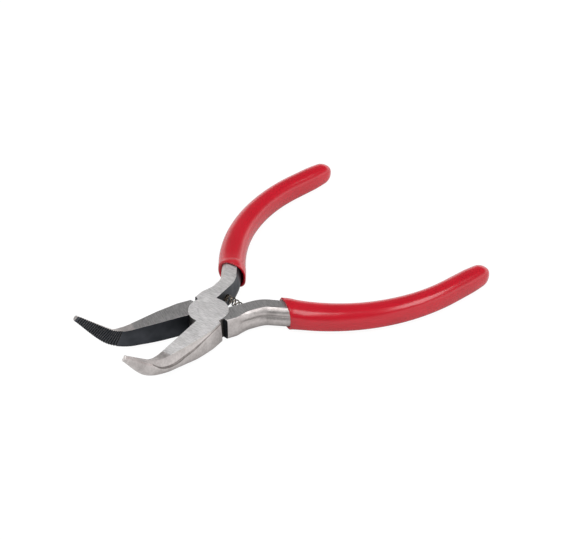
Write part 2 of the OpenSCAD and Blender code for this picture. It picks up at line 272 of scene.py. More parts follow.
def lathe(name, profile, zones, sides=120):
    """Turned solid about Z from (radius, height) points, the first and last on the axis."""
    points = [(0, 0, profile[0][1]), (0, 0, profile[-1][1])]
    rim = profile[1:-1]
    for radius, height in rim:
        for j in range(sides):
            t = 2 * math.pi * j / sides
            points.append((radius * math.cos(t), radius * math.sin(t), height))
    faces = []
    finishes = []
    top = 2 + (len(rim) - 1) * sides
    for j in range(sides):
        k = (j + 1) % sides
        faces.append((0, 2 + k, 2 + j))
        finishes.append(zones[0])
        faces.append((1, top + j, top + k))
        finishes.append(zones[-1])
        for i in range(len(rim) - 1):
            low = 2 + i * sides
            faces.append((low + j, low + k, low + sides + k, low + sides + j))
            finishes.append(zones[i + 1])
    return solid(name, points, faces, finishes)


def carve(body, joined, cut):
    """The body with some solids joined to it and others cut out, as one new mesh."""
    for kind, others in (("UNION", joined), ("DIFFERENCE", cut)):
        for other in others:
            change = body.modifiers.new(other.name, "BOOLEAN")
            change.operation = kind
            change.solver = "EXACT"
            change.material_mode = "INDEX"
            change.object = other
    bpy.context.view_layer.update()
    ready = body.evaluated_get(bpy.context.evaluated_depsgraph_get())
    mesh = bpy.data.meshes.new_from_object(ready)
    for old in [body, *joined, *cut]:
        bpy.data.objects.remove(old)
    return mesh


def shade(mesh, sharp=24, zone_sharp=7):
    """Smooth shading, with crisp edges where faces meet at more than `sharp` degrees, or at more
    than `zone_sharp` where one finish meets another."""
    built = bmesh.new()
    built.from_mesh(mesh)
    for edge in built.edges:
        if len(edge.link_faces) != 2:
            continue
        one, two = edge.link_faces
        limit = sharp if one.material_index == two.material_index else zone_sharp
        edge.smooth = edge.calc_face_angle(0) < math.radians(limit)
    for face in built.faces:
        face.smooth = True
    built.to_mesh(mesh)
    built.free()


def set_grind(mesh):
    """Map in metres, along and across the closed lever: the belt ran across it."""
    grind = mesh.uv_layers.new(name="grind")
    for loop in mesh.loops:
        x, y, _ = mesh.vertices[loop.vertex_index].co
        grind.data[loop.index].uv = (x * MM, y * MM)


def paint(mesh, finishes):
    """Gives a mesh its finishes, and drops the empty slots past them."""
    while len(mesh.materials) > len(finishes):
        mesh.materials.pop()
    for k, material in enumerate(finishes):
        mesh.materials[k] = material


def place(name, mesh, side, finishes):
    """Turns a closed-tool mesh to the rest pose, mirrored for the lower lever's side."""
    mesh.transform(Matrix.Diagonal((1, side, 1, 1)))
    if side < 0:
        mesh.flip_normals()
    mesh.transform(Matrix.Rotation(side * HALF_OPEN, 4, "Z"))
    mesh.transform(Matrix.Scale(MM, 4))
    paint(mesh, finishes)
    return show(name, mesh)


# ---- finishes ----


def colour(code):
    """sRGB hex to linear."""
    parts = [int(code[i:i + 2], 16) / 255 for i in (1, 3, 5)]
    return (*[c / 12.92 if c <= 0.04045 else ((c + 0.055) / 1.055) ** 2.4 for c in parts], 1)


def per_metre(size):
    """Scale of a pattern whose marks are `size` millimetres apart, on a map in metres."""
    return 1 / (size * MM)


def add(tree, kind, inputs=None, stops=(), **settings):
    """Adds a node with its settings. Each input is a value, or another node's output to link. It
    goes by its name, or by its number where names repeat: a Mix node mixes 2 and 3 as numbers, and
    6 and 7 as colours. Stops are a colour ramp's (position, hex code) pairs."""
    made = tree.nodes.new("ShaderNode" + kind)
    for name, value in settings.items():
        setattr(made, name, value)
    for k, (position, code) in enumerate(stops):
        made.color_ramp.elements[k].position = position
        made.color_ramp.elements[k].color = colour(code)
    for socket, value in (inputs or {}).items():
        if isinstance(value, bpy.types.NodeSocket):
            tree.links.new(value, made.inputs[socket])
        else:
            made.inputs[socket].default_value = value
    return made


def finish(name):
    made = bpy.data.materials.new(name)
    made.use_nodes = True
    made.node_tree.nodes.clear()
    return made, made.node_tree


def surface(tree, shader):
    add(tree, "OutputMaterial", {"Surface": shader.outputs[0]})


def belt_ground_steel(name, light, dark):
    """Forged tool steel, ground flat on a belt across the lever: satin, with short fine scratches
    that catch light from one side only, so the two levers never look equally bright."""
    made, tree = finish(name)
    grind = add(tree, "UVMap", uv_map="grind")
    # Scratches 2 mm long and 0.3 mm apart
    stretched = add(tree, "Mapping", {
        "Vector": grind.outputs[0], "Scale": (per_metre(0.303), per_metre(2.083), 1)})
    scratches = add(tree, "TexNoise", {
        "Vector": stretched.outputs[0], "Scale": 1, "Detail": 3, "Roughness": 0.6})
    # Clouding from uneven belt pressure, about 4 mm across
    spot = add(tree, "TexCoord").outputs["Object"]
    clouds = add(tree, "TexNoise", {"Vector": spot, "Scale": per_metre(3.846), "Detail": 2})
    tone = add(tree, "Math", {0: scratches.outputs["Fac"], 1: 0.72}, operation="MULTIPLY")
    tone = add(tree, "Math", {0: clouds.outputs["Fac"], 1: 0.28, 2: tone.outputs[0]},
               operation="MULTIPLY_ADD")
    shades = add(tree, "ValToRGB", {"Fac": tone.outputs[0]}, [(0.34, dark), (0.6, light)])
    rough = add(tree, "MapRange", {
        "Value": scratches.outputs["Fac"],
        "From Min": 0.3, "From Max": 0.7, "To Min": 0.44, "To Max": 0.34})
    eased = add(tree, "Bevel", {"Radius": 0.12 * MM}, samples=6)
    bumps = add(tree, "Bump", {
        "Height": scratches.outputs["Fac"], "Strength": 0.18, "Distance": 0.03 * MM,
        "Normal": eased.outputs[0]})
    across = add(tree, "Tangent", direction_type="UV_MAP", uv_map="grind")
    surface(tree, add(tree, "BsdfPrincipled", {
        "Base Color": shades.outputs["Color"], "Metallic": 1, "Roughness": rough.outputs[0],
        "Anisotropic": 0.75, "Normal": bumps.outputs[0], "Tangent": across.outputs[0]}))
    return made


def buffed_steel(name, light, dark, roughness):
    """The same steel, linished and buffed along its outer sides: smoother, warmer, softly mottled,
    with painted shade that darkens it in its hollows and wherever other parts come close."""
    made, tree = finish(name)
    spot = add(tree, "TexCoord").outputs["Object"]
    # Buffing marks 0.7 mm across, and cloudier patches 4.5 mm across
    fine = add(tree, "TexNoise", {
        "Vector": spot, "Scale": per_metre(0.7143), "Detail": 4, "Roughness": 0.65})
    wide = add(tree, "TexNoise", {"Vector": spot, "Scale": per_metre(4.545), "Detail": 2})
    tone = add(tree, "Math", {0: wide.outputs["Fac"], 1: fine.outputs["Fac"]}, operation="ADD")
    tone = add(tree, "Math", {0: tone.outputs[0], 1: 0.5}, operation="MULTIPLY")
    shades = add(tree, "ValToRGB", {"Fac": tone.outputs[0]}, [(0.36, dark), (0.62, light)])
    # Painted shade: where occlusion finds little open space, in hollows and near other parts, the
    # colour darkens to #75706d
    exposed = add(tree, "AmbientOcclusion", {"Distance": 1.4 * MM}, samples=8, only_local=True)
    out_of_painted_shade = add(tree, "MapRange", {
        "Value": exposed.outputs["AO"], "From Min": 0.68, "From Max": 0.95, "To Min": 0, "To Max": 1})
    tones_with_painted_shade = add(tree, "Mix", {0: out_of_painted_shade.outputs[0], 6: colour("#75706d"), 7: shades.outputs["Color"]},
                data_type="RGBA")
    rough = add(tree, "MapRange", {
        "Value": fine.outputs["Fac"],
        "From Min": 0.3, "From Max": 0.7, "To Min": roughness, "To Max": roughness + 0.09})
    eased = add(tree, "Bevel", {"Radius": 0.15 * MM}, samples=6)
    bumps = add(tree, "Bump", {
        "Height": fine.outputs["Fac"], "Strength": 0.12, "Distance": 0.04 * MM,
        "Normal": eased.outputs[0]})
    surface(tree, add(tree, "BsdfPrincipled", {
        "Base Color": tones_with_painted_shade.outputs[2], "Metallic": 1, "Roughness": rough.outputs[0],
        "Normal": bumps.outputs[0]}))
    return made


def black_oxide(name):
    """Blackened steel on the faces that were never ground again: deep blue-grey, satin, rubbed
    back to bare metal along its thin outer edges."""
    made, tree = finish(name)
    spot = add(tree, "TexCoord").outputs["Object"]
    # Mill marks and scale 0.6 mm across, on patches 5.5 mm across
    grain = add(tree, "TexNoise", {
        "Vector": spot, "Scale": per_metre(0.5882), "Detail": 3, "Roughness": 0.6})
    wide = add(tree, "TexNoise", {"Vector": spot, "Scale": per_metre(5.556), "Detail": 2})
    shades = add(tree, "ValToRGB", {"Fac": wide.outputs["Fac"]},
                 [(0.35, "#34373c"), (0.65, "#484a50")])
    # An edge is where the eased normal leans away from the true one
    eased = add(tree, "Bevel", {"Radius": 0.1 * MM}, samples=6)
    facing = add(tree, "NewGeometry")
    turn = add(tree, "VectorMath", {0: eased.outputs[0], 1: facing.outputs["Normal"]},
               operation="DOT_PRODUCT")
    worn = add(tree, "MapRange", {
        "Value": turn.outputs["Value"], "From Min": 0.995, "From Max": 0.93, "To Min": 0, "To Max": 1})
    patchy = add(tree, "MapRange", {
        "Value": grain.outputs["Fac"], "From Min": 0.42, "From Max": 0.6, "To Min": 0, "To Max": 1})
    wear = add(tree, "Math", {0: worn.outputs[0], 1: patchy.outputs[0]}, operation="MULTIPLY")
    coat = add(tree, "Mix", {0: wear.outputs[0], 6: shades.outputs["Color"], 7: colour("#a39c95")},
               data_type="RGBA")
    rough = add(tree, "MapRange", {
        "Value": grain.outputs["Fac"],
        "From Min": 0.3, "From Max": 0.7, "To Min": 0.34, "To Max": 0.46})
    bumps = add(tree, "Bump", {
        "Height": grain.outputs["Fac"], "Strength": 0.1, "Distance": 0.04 * MM,
        "Normal": eased.outputs[0]})
    surface(tree, add(tree, "BsdfPrincipled", {
        "Base Color": coat.outputs[2], "Metallic": 0.8, "Roughness": rough.outputs[0],
        "Normal": bumps.outputs[0]}))
    return made


def dark_oxide_and_groove_shade_steel(name):
    """Matt, nearly black oxide: the dark finish of the stop faces in the slots, and painted shade
    in the tooth grooves.
    """
    made, tree = finish(name)
    spot = add(tree, "TexCoord").outputs["Object"]
    # Scale and old oil, in specks 0.5 mm across
    scale = add(tree, "TexNoise", {"Vector": spot, "Scale": per_metre(0.5), "Detail": 3})
    # Nearly black: the oxide of the stop faces, and painted shade down in the tooth grooves
    shades = add(tree, "ValToRGB", {"Fac": scale.outputs["Fac"]},
                 [(0.35, "#1a1c20"), (0.7, "#272a2e")])
    bumps = add(tree, "Bump", {
        "Height": scale.outputs["Fac"], "Strength": 0.2, "Distance": 0.05 * MM})
    surface(tree, add(tree, "BsdfPrincipled", {
        "Base Color": shades.outputs["Color"], "Metallic": 0.4, "Roughness": 0.6,
        "Normal": bumps.outputs[0]}))
    return made


def soft_vinyl(name):
    """Dipped soft PVC: bright red, glossy, with the slight waviness of a moulded sleeve that
    has been pushed over its handle."""
    made, tree = finish(name)
    spot = add(tree, "TexCoord").outputs["Object"]
    # Waves 9 mm long, and a fine orange peel 0.8 mm across
    waves = add(tree, "TexNoise", {"Vector": spot, "Scale": per_metre(9.091), "Detail": 1})
    peel = add(tree, "TexNoise", {"Vector": spot, "Scale": per_metre(0.7692), "Detail": 2})
    shades = add(tree, "ValToRGB", {"Fac": waves.outputs["Fac"]},
                 [(0.3, "#b40a1f"), (0.7, "#bf0f24")])
    swell = add(tree, "Bump", {
        "Height": waves.outputs["Fac"], "Strength": 0.35, "Distance": 0.4 * MM})
    bumps = add(tree, "Bump", {
        "Height": peel.outputs["Fac"], "Strength": 0.02, "Distance": 0.05 * MM,
        "Normal": swell.outputs[0]})
    rough = add(tree, "MapRange", {
        "Value": peel.outputs["Fac"],
        "From Min": 0.3, "From Max": 0.7, "To Min": 0.22, "To Max": 0.25})
    surface(tree, add(tree, "BsdfPrincipled", {
        "Base Color": shades.outputs["Color"], "Roughness": rough.outputs[0], "IOR": 1.53,
        "Normal": bumps.outputs[0]}))
    return made


def oiled_spring_wire(name):
    """Oil-tempered spring wire: nearly black, with straw-coloured drawing marks that shine."""
    made, tree = finish(name)
    spot = add(tree, "TexCoord").outputs["Object"]
    # Temper colours that change every 0.7 mm
    temper = add(tree, "TexNoise", {"Vector": spot, "Scale": per_metre(0.6667), "Detail": 2})
    shades = add(tree, "ValToRGB", {"Fac": temper.outputs["Fac"]},
                 [(0.35, "#1f1b19"), (0.65, "#94897b")])
    surface(tree, add(tree, "BsdfPrincipled", {
        "Base Color": shades.outputs["Color"], "Metallic": 1, "Roughness": 0.24}))
    return made


ground = belt_ground_steel("belt_ground_steel", "#d3d1d1", "#a5a3a3")
buffed = buffed_steel("buffed_steel", "#cdc7c5", "#aaa4a2", 0.4)
crease_steel = buffed_steel("crease_steel", "#938d8a", "#6d6866", 0.42)
dark_oxide_and_groove_shade = dark_oxide_and_groove_shade_steel("dark_oxide_and_groove_shade_steel")
turned_steel = buffed_steel("turned_steel", "#8c8985", "#6d6a67", 0.35)
blackened = black_oxide("black_oxide_steel")
vinyl = soft_vinyl("soft_vinyl_red")
wire = oiled_spring_wire("oiled_spring_wire")
# In the order of GROUND, BUFFED, CREASE, BLACK, TURNED, and last the dark oxide that is also painted
# groove shade
lever_finishes = [ground, buffed, crease_steel, blackened, turned_steel, dark_oxide_and_groove_shade]

# ---- jaws ----

JAW_CHAIN = [(JAW_STRAIGHT, 0), (BEND_LENGTH, BEND_ANGLE), (NOSE_LENGTH, 0)]
JAW_LENGTH = JAW_STRAIGHT + BEND_LENGTH + NOSE_LENGTH
TEETH_START = JAW_STRAIGHT + 0.55 * BEND_LENGTH
GROUND_END = JAW_STRAIGHT + 0.3
CREASE_END = JAW_STRAIGHT + 0.9 * BEND_LENGTH
LEVER_START = 1  # jaws and handles start inside the joint disc, this far from the pivot
SIDE_POINTS = 26
INNER_POINTS = 11
LEVEL_SLOPE = 0.08  # a step of a section that climbs less than this is part of a ground face

# From each tooth to the next: share of the pitch, and depth there
TOOTH_SHAPE = ((0.16, TOOTH_DEPTH), (0.42, TOOTH_DEPTH), (0.6, 0), (1, 0))
GROOVE_REACH = 1.5 * TOOTH_DEPTH  # no groove draws in the skin farther out than this
# Rounding of a jaw's end: shares of the chamfer, ahead and inwards
END_SHAPE = ((0, 0), (0.75, 0.12), (1, 0.5))

# Hollow from the ground top down to the crease: places across it, and how far it dips inwards and
# downwards there, as shares of its height
HOLLOW_PLACES = (0.2, 0.4, 0.6, 0.8)
DIP_ACROSS, DIP_DOWN = 0.05, 0.09
FLAT_MARGIN = 0.04

# Distance, width, top, bottom, outer edge of the ground flat, drop to the crease, squareness, lean
JAW_TABLE = [
    (0, HEEL_WIDTH, HALF, HALF, HEEL_WIDTH - 0.15, 0.5, 9, SIDE_LEAN),
    (DISC_RADIUS + 1, HEEL_WIDTH, HALF, HALF, HEEL_WIDTH - 0.2, 0.7, 8, SIDE_LEAN),
    (0.42 * JAW_STRAIGHT, HEEL_WIDTH - 0.1, HALF, HALF, HEEL_WIDTH - 0.6, 1, 6, SIDE_LEAN),
    (0.62 * JAW_STRAIGHT, HEEL_WIDTH - 0.5, HALF, HALF - 0.05, HEEL_WIDTH - 1.4, 1.7, 4, SIDE_LEAN),
    (0.82 * JAW_STRAIGHT, HEEL_WIDTH - 1.5, HALF, HALF - 0.35, HEEL_WIDTH - 2.5, 2.5, 3, SIDE_LEAN),
    (JAW_STRAIGHT, BEND_WIDTH + 2.1, HALF, HALF - 0.8, BEND_WIDTH + 0.8, 2.9, 2.4, 0.7 * SIDE_LEAN),
    (JAW_STRAIGHT + BEND_LENGTH / 2, BEND_WIDTH + 1.1, HALF - 0.4, BEND_HEIGHT / 2 + 0.05,
     BEND_WIDTH - 0.2, 2.3, 2.1, 0),
    (JAW_STRAIGHT + BEND_LENGTH, BEND_WIDTH - 0.1, BEND_HEIGHT / 2, BEND_HEIGHT / 2, 0.8, 0.7, 2.1, 0),
    (JAW_LENGTH, TIP_WIDTH, TIP_HEIGHT / 2, TIP_HEIGHT / 2, 0.3, 0.1, 2.1, 0),
]


def inner_face(inner, top, bottom, swell=0.0):
    """Inner side of a section, from its lowest point back up to its highest, flat or swollen."""
    ways = [k / (INNER_POINTS + 1) for k in range(1, INNER_POINTS + 1)]
    return [(inner - swell * (4 * w * (1 - w)) ** SWELL_FULLNESS, -bottom + (top + bottom) * w)
            for w in ways]


def flat_zones(outline, zones):
    """Marks as ground every step of a section that lies level along its top or underside."""
    n = len(outline)
    for j in range(n):
        a = outline[j]
        b = outline[(j + 1) % n]
        if zones[j] == BUFFED and abs(a[1] - b[1]) < LEVEL_SLOPE * abs(a[0] - b[0]):
            zones[j] = GROUND
    return zones


def jaw_section(inner, outer, top, bottom, flat, drop, squareness, lean):
    """Ground top out to `flat`, a hollow down to a crease, then a rounded side that leans out."""
    middle = (top - bottom) / 2
    height = (top + bottom) / 2
    start = math.asin(((top - drop - middle) / height) ** (squareness / 2))
    side = []
    for t in steps(start, -math.pi / 2, SIDE_POINTS):
        u, v = squircle(outer - inner, height, squareness, t)
        down = (top - drop - middle - v) / (top - drop + bottom)
        side.append((inner + u + lean * down * u / (outer - inner), middle + v))
    edge = (min(flat, side[0][0] - FLAT_MARGIN), top)
    hollow = []
    for w in HOLLOW_PLACES:
        dip = 4 * w * (1 - w) * drop
        hollow.append((edge[0] + (side[0][0] - edge[0]) * w - DIP_ACROSS * dip,
                       edge[1] + (side[0][1] - edge[1]) * w - DIP_DOWN * dip))
    back = inner_face(inner, top, bottom)
    outline = [(inner, top), ((inner + edge[0]) / 2, top), edge, *hollow, *side, *back]
    zones = ([GROUND, GROUND] + [BUFFED] * len(hollow) + [CREASE, CREASE]
             + [BUFFED] * (len(side) - 2) + [BLACK] * (len(back) + 1))
    return outline, flat_zones(outline, zones)


def jaw_ring(s, groove=0.0, inset=0.0):
    """Ring of a jaw at distance s: its gripping face sunk by `groove`, its other sides by `inset`."""
    width, top, bottom, flat, drop, squareness, lean = between(JAW_TABLE, s)
    a, b, angle = along(JAW_CHAIN, s)
    inner = BITE_GAP / 2
    outline, zones = jaw_section(inner, width - inset, top - inset, bottom - inset,
                                 flat, drop, squareness, lean)
    outline = [(u + groove * max(0, 1 - (u - inner) / GROOVE_REACH), v) for u, v in outline]
    if s > GROUND_END:
        zones = [BUFFED if zone == GROUND else zone for zone in zones]
    if s > CREASE_END:
        zones = [BUFFED if zone == CREASE else zone for zone in zones]
    ring = [(-a + v * math.sin(angle), -u, HALF + b + v * math.cos(angle)) for u, v in outline]
    return ring, zones


def darken(zones):
    """Turns the blackened steps of a ring into the nearly black ones of a groove: painted shade."""
    for j, zone in enumerate(zones):
        if zone == BLACK:
            zones[j] = DARK_OXIDE_AND_GROOVE_SHADE


def jaw(name):
    rows = [jaw_ring(s) for s in steps(LEVER_START, TEETH_START, 48)]
    tooth = TEETH_START
    while tooth + TOOTH_PITCH < JAW_LENGTH:
        darken(rows[-1][1])
        for part, depth in TOOTH_SHAPE:
            rows.append(jaw_ring(tooth + part * TOOTH_PITCH, depth))
            if depth:
                darken(rows[-1][1])
        tooth += TOOTH_PITCH
    # The end is ground clean all round
    for ahead, inset in END_SHAPE:
        ring, zones = jaw_ring(JAW_LENGTH + ahead * TIP_CHAMFER, 0, inset * TIP_CHAMFER)
        rows.append((ring, [BUFFED] * len(zones)))
    return loft(name, [ring for ring, _ in rows], [zones for _, zones in rows])


# ---- handles ----

HANDLE_CHAIN = [(HANDLE_STRAIGHT, 0), (SPLAY_ARC, SPLAY_ANGLE), (SPLAY_LENGTH, 0),
                (PALM_ARC, -PALM_ANGLE), (TAIL_LENGTH, 0)]
HANDLE_LENGTH = sum(length for length, _ in HANDLE_CHAIN)
INNER = NECK_OVERLAP - NECK_WIDTH / 2
HANDLE_LINE = HANDLE_GAP / 2 - INNER
SHOULDER = INNER + SHOULDER_WIDTH
NECK = INNER + NECK_WIDTH
ROOT = INNER + ROOT_WIDTH - INNER_SWELL

# Distance, inner edge, outer face, half height, outer edge of the ground flat, squareness, swell
# of the inner side, hollow of the outer side
HANDLE_TABLE = [
    (0, INNER, SHOULDER, HALF, SHOULDER - 0.35, 9, 0, 0),
    (DISC_RADIUS, INNER, SHOULDER - 0.1, HALF, SHOULDER - 0.5, 8, 0, 0),
    (0.6 * HANDLE_STRAIGHT, INNER, NECK + 1.05, HALF, NECK + 0.45, 3.6, 0, 0.6 * SIDE_HOLLOW),
    (0.8 * HANDLE_STRAIGHT, INNER, NECK + 0.7, HALF, NECK - 0.25, 3, 0, SIDE_HOLLOW),
    (HANDLE_STRAIGHT + 0.8, INNER, NECK + 0.7, HALF, NECK - 0.35, 3, 0, SIDE_HOLLOW),
    (HANDLE_STRAIGHT + 0.6 * SPLAY_ARC, INNER, ROOT + 0.35, HALF, ROOT - 0.9, 2.8, 0.3 * INNER_SWELL,
     SIDE_HOLLOW),
    (HANDLE_STRAIGHT + SPLAY_ARC, INNER, ROOT + 0.18, HALF, ROOT - 1.1, 2.7, 0.8 * INNER_SWELL,
     SIDE_HOLLOW),
    (MOUTH_DISTANCE, INNER, ROOT, HALF, ROOT - 1.3, 2.6, INNER_SWELL, SIDE_HOLLOW),
    (MOUTH_DISTANCE + TANG_START, INNER, ROOT - 0.2, HALF - 0.4, ROOT - 1.5, 2.4, INNER_SWELL - 0.1,
     SIDE_HOLLOW / 2),
    (HANDLE_LENGTH, -TANG_WIDTH / 2, TANG_WIDTH / 2, TANG_HEIGHT / 2, TANG_WIDTH / 4, 2.6, 0, 0),
]


def handle_section(s, gap=0.0):
    """Section of a handle at distance s, grown by `gap` all round, with its finishes."""
    inner, outer, half, flat, squareness, swell, hollow = between(HANDLE_TABLE, s)
    inner -= gap
    outer += gap
    half += gap
    flat += gap / 2
    width = outer + hollow / 2 - inner
    height = half / (1 - ((flat - inner) / width) ** squareness) ** (1 / squareness)
    start = math.asin((half / height) ** (squareness / 2))
    side = []
    for t in steps(start, -start, SIDE_POINTS):
        u, v = squircle(width, height, squareness, t)
        sunk = hollow * math.exp(-((v - HOLLOW_HEIGHT) / HOLLOW_SPREAD) ** 2)
        side.append((inner + u - sunk, v))
    middle = (inner + flat) / 2
    back = inner_face(inner, half, half, swell)
    outline = [(inner, half), (middle, half), *side, (middle, -half), (inner, -half), *back]
    zones = ([GROUND, GROUND] + [BUFFED] * (len(side) - 1) + [GROUND, GROUND]
             + [BLACK] * (len(back) + 1))
    return outline, flat_zones(outline, zones)


def on_handle(outline, s):
    """Puts section points at distance s along the handle."""
    a, b, angle = along(HANDLE_CHAIN, s, (0, HANDLE_LINE, 0))
    return [(a - u * math.sin(angle), b + u * math.cos(angle), HALF + v) for u, v in outline]


def handle(name):
    bare = steps(LEVER_START, MOUTH_DISTANCE, 56)
    sleeved = steps(MOUTH_DISTANCE, HANDLE_LENGTH, 30)[1:]
    sections = [(s, handle_section(s)) for s in bare + sleeved]
    sections.append((HANDLE_LENGTH + TANG_CHAMFER, handle_section(HANDLE_LENGTH, -TANG_CHAMFER)))
    rings = [on_handle(outline, s) for s, (outline, _) in sections]
    return loft(name, rings, [zones for _, (_, zones) in sections])


# ---- levers and rivet ----

FAR = 40  # reaches past everything that a cutter has to clear
SEAT_SIDES = 64


def behind_stop(name, angle):
    """Everything on the far side of the radial face that stops the levers, when wide open."""
    corners = [(x, y, z) for x in (-FAR, FAR) for y in (0, FAR) for z in (-FAR, FAR)]
    turn = Matrix.Rotation(angle, 3, "Z")
    points = [tuple(turn @ Vector(c)) for c in corners]
    faces = [(0, 1, 3, 2), (4, 6, 7, 5), (0, 4, 5, 1), (2, 3, 7, 6), (0, 2, 6, 4), (1, 5, 7, 3)]
    return solid(name, points, faces, [DARK_OXIDE_AND_GROOVE_SHADE] * len(faces))


def rivet_profile(gap=0.0, out=0.0):
    """Outline of the rivet, or of its hole with a gap round it and running out past both faces."""
    shank = RIVET_RADIUS + gap
    end = RIVET_END_RADIUS + gap
    return [(0, -out), (end, -out), (end, 0), (shank, RIVET_END_DEPTH),
            (shank, THICKNESS - RIVET_END_DEPTH), (end, THICKNESS), (end, THICKNESS + out),
            (0, THICKNESS + out)]


def spring_seat():
    """Cutter for the blind hole that seats the spring in a handle's inner face."""
    radius = SPRING_RADIUS + SPRING_GAP
    profile = [(0, -1), (radius, -1), (radius, POCKET_DEPTH), (0, POCKET_DEPTH)]
    seat = lathe("seat", profile, [BLACK] * 3, SEAT_SIDES)
    seat.data.transform(Matrix.Translation((POCKET_DISTANCE, HANDLE_GAP / 2, HALF))
                        @ Matrix.Rotation(-math.pi / 2, 4, "X"))
    return seat


def lever(name, lap, hole_gap, side, finishes):
    """One forged lever. lap is 1 with its joint disc on top, and -1 with it below."""
    lapped = HALF + lap * LAP_GAP / 2
    floor, ceiling = (lapped, THICKNESS) if lap > 0 else (0, lapped)
    low, high = (-FAR, lapped) if lap > 0 else (lapped, lapped + FAR)
    # Each blank is cut off at its own stop face before the two are joined
    heel = carve(jaw("jaw_blank"), [], [behind_stop("heel_stop", math.pi + STOP_ANGLE)])
    carved_jaw = show("carved_jaw", heel)
    neck = carve(handle("handle_blank"), [], [behind_stop("neck_stop", STOP_ANGLE)])
    carved_handle = show("carved_handle", neck)
    disc = lathe("disc", [(0, floor), (DISC_RADIUS, floor), (DISC_RADIUS, ceiling), (0, ceiling)],
                 [TURNED, TURNED, GROUND] if lap > 0 else [GROUND, TURNED, TURNED])
    reach = DISC_RADIUS + POCKET_GAP
    pocket = lathe("pocket", [(0, low), (reach, low), (reach, high), (0, high)], [TURNED] * 3)
    hole = lathe("hole", rivet_profile(hole_gap, 1), [TURNED] * 7)
    mesh = carve(carved_jaw, [carved_handle, disc], [pocket, hole, spring_seat()])
    set_grind(mesh)
    shade(mesh)
    return place(name, mesh, side, finishes)


upper = lever("upper_lever", 1, 0.0, 1, lever_finishes)
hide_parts("lever_a")
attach(upper, "upper_half")

lower = lever("lower_lever", -1, RIVET_GAP, -1, lever_finishes)
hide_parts("lever_b")
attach(lower, "lower_half")

peened = lathe("peened", rivet_profile(), [GROUND] * 7)
set_grind(peened.data)
shade(peened.data)
rivet = place("flush_rivet", peened.data, 1, [ground])
bpy.data.objects.remove(peened)
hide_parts("rivet")
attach(rivet, "upper_half")

# ---- grips ----

GRIP_LENGTH = HANDLE_LENGTH + TANG_CHAMFER + GRIP_END_LENGTH - MOUTH_DISTANCE
MOUTH_SHIFT = -INNER + INNER_SWELL - ROOT_WIDTH / 2
GRIP_SIDES = 64
SOFT_EDGE = 50  # degrees: a sleeve or wire has no edge as sharp as this
# Bead round the lip: how far it stands out, where it ends and how steeply
BEAD_HEIGHT = 0.1
BEAD_LENGTH = 2.1
BEAD_STEEPNESS = 6
FINE_LENGTH = 8  # the rings lie closer together over this length from the mouth

# Distance from the mouth, half width, half height, shift towards the inner side
GRIP_TABLE = [
    (0, MOUTH_WIDTH / 2, MOUTH_HEIGHT / 2, MOUTH_SHIFT),
    (FLARE_LENGTH + FLARE_RUN, MOUTH_WIDTH / 2 - 0.05, GRIP_HEIGHT / 2 + 0.15, MOUTH_SHIFT / 2),
    (GRIP_LENGTH * 0.4, GRIP_WIDTH / 2, GRIP_HEIGHT / 2, 0),
    (GRIP_LENGTH * 0.7, GRIP_END_WIDTH / 2, GRIP_HEIGHT / 2, 0),
    (GRIP_LENGTH - END_TAPER, GRIP_END_WIDTH / 2, GRIP_HEIGHT / 2 - 0.1, 0),
    (GRIP_LENGTH, GRIP_END_WIDTH / 2 - 0.6, GRIP_HEIGHT / 2 - 0.7, 0),
]


def reach_to(outline, origin, t):
    """Distance from a point inside a section to its outline, in direction t."""
    du, dv = math.cos(t), math.sin(t)
    best = 0.0
    for j, (u0, v0) in enumerate(outline):
        u1, v1 = outline[(j + 1) % len(outline)]
        eu, ev = u1 - u0, v1 - v0
        cross = du * ev - dv * eu
        if abs(cross) < 1e-12:
            continue
        au, av = u0 - origin, v0
        r = (au * ev - av * eu) / cross
        w = (au * dv - av * du) / cross
        if r > 0 and -1e-9 <= w <= 1 + 1e-9:
            best = max(best, r)
    return best


def grip_skin(s, inset=0.0):
    """Outside of a grip at distance s: (angle, radius) pairs and its centre."""
    from_mouth = s - MOUTH_DISTANCE
    width, height, shift = between(GRIP_TABLE, from_mouth)
    bead = 0.0
    if inset == 0:
        bead = BEAD_HEIGHT / (1 + math.exp((from_mouth - BEAD_LENGTH) * BEAD_STEEPNESS))
    a = width - inset + bead
    b = height - inset + bead
    p = GRIP_SQUARENESS
    rays = []
    for k in range(GRIP_SIDES):
        t = 2 * math.pi * k / GRIP_SIDES
        rays.append((t, (abs(math.cos(t) / a) ** p + abs(math.sin(t) / b) ** p) ** (-1 / p)))
    return rays, -shift


def grip_bore(s):
    """Inside of a grip: snug on the tang, and opening out towards the lip of its mouth."""
    lip, origin = grip_skin(s, LIP_WALL)
    snug, _ = handle_section(min(s, HANDLE_LENGTH), GRIP_GAP)
    opening = min(1, max(0, 1 - (s - MOUTH_DISTANCE) / FLARE_LENGTH)) ** 2
    rays = []
    for t, r in lip:
        tight = reach_to(snug, origin, t)
        rays.append((t, tight + (r - tight) * opening if r > tight else tight))
    return rays, origin


def grip_ring(section, s):
    """Ring of a grip at distance s. Near the mouth the rings slant as the mouth does."""
    slant = math.tan(MOUTH_ANGLE) * max(0, 1 - (s - MOUTH_DISTANCE) / SLANT_LENGTH)
    rays, origin = section(s)
    ring = []
    for k, (t, r) in enumerate(rays):
        own = s + (origin + r * math.cos(t)) * slant
        own_r, own_origin = r, origin
        if slant > 0:
            own_rays, own_origin = section(own)
            own_r = own_rays[k][1]
        ring += on_handle([(own_origin + own_r * math.cos(t), own_r * math.sin(t))], own)
    return ring


